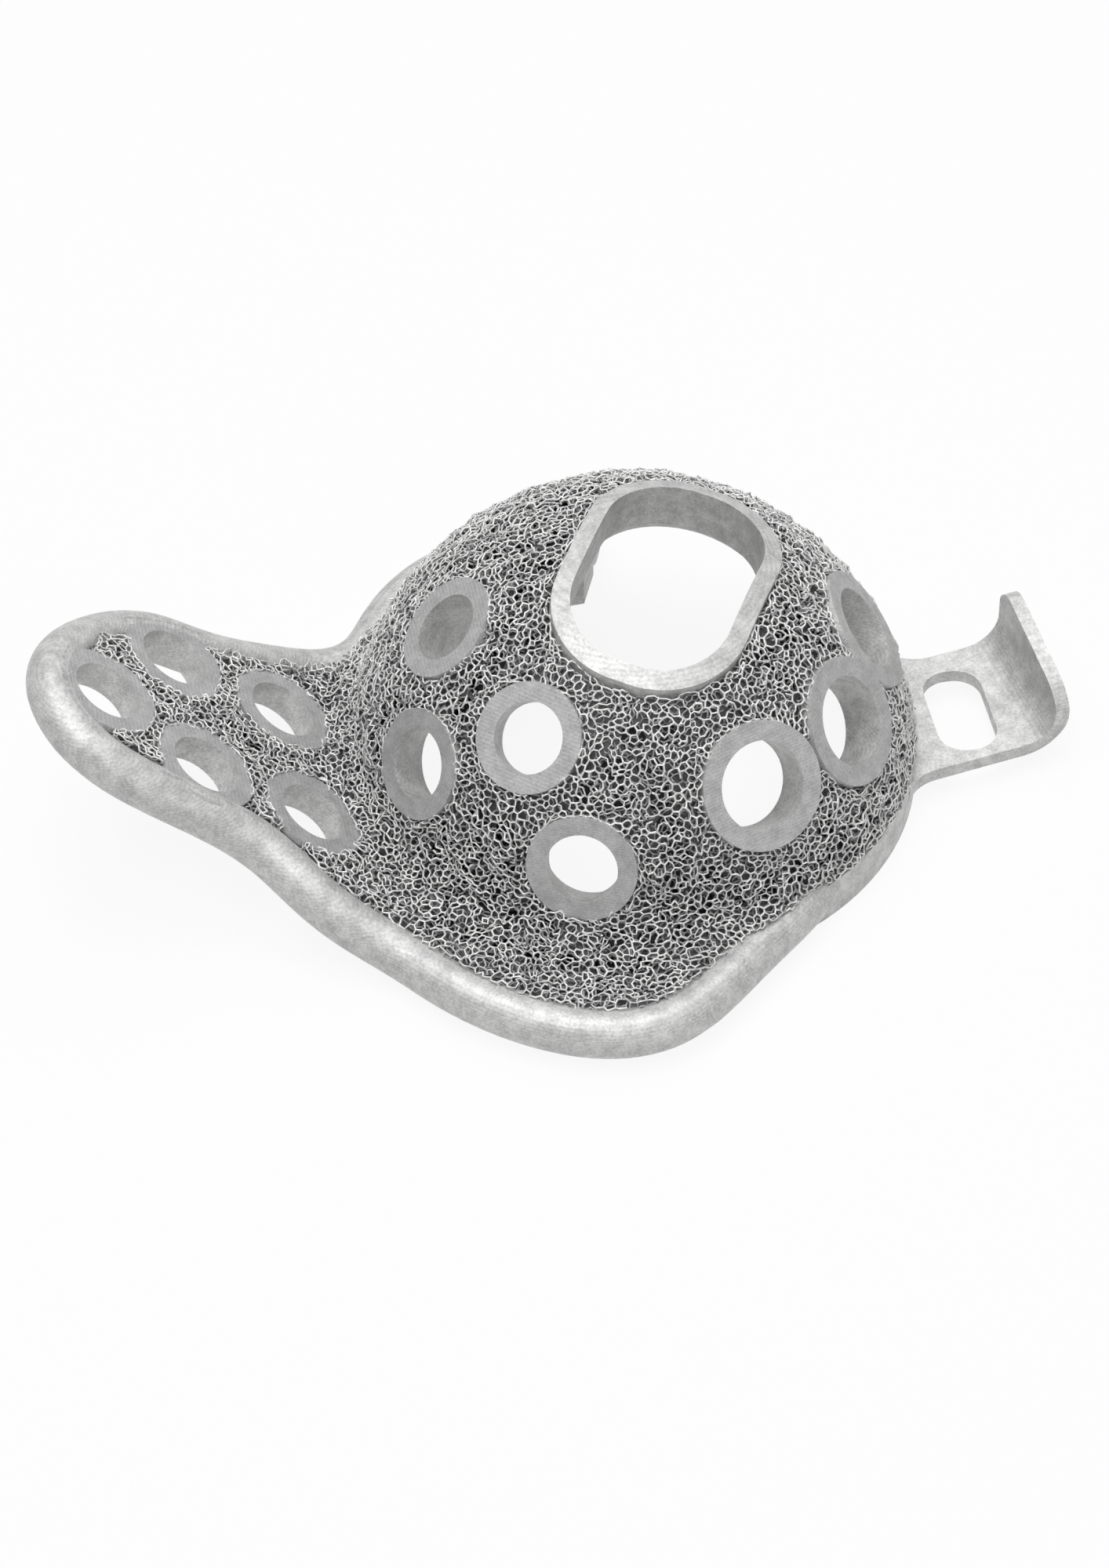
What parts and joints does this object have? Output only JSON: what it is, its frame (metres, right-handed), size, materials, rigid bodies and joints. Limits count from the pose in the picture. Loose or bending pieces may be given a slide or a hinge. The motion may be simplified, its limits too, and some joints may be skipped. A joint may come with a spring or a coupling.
{
  "type": "acetabular cage",
  "caption": "Porous hip-socket revision cage in one piece: dome with screw bores, polar window and back arch, raised flange with a rolled rim, and a thin slotted strap with a hook.",
  "frame": {"origin": "centre of the dome's sphere, on the cup's mouth axis, 2 mm above the mouth's face", "axes": "+Z from the cup's mouth to the dome's pole; +X towards the strap with the hook, so that the raised flange reaches out to -X; +Y to the side away from the porous lobe"},
  "size_m": [0.1151, 0.083, 0.0343],
  "materials": {
    "titanium": "matte, grainy as printed"
  },
  "bodies": {
    "root": {"acetabular_cage": "titanium"}
  },
  "joints": []
}
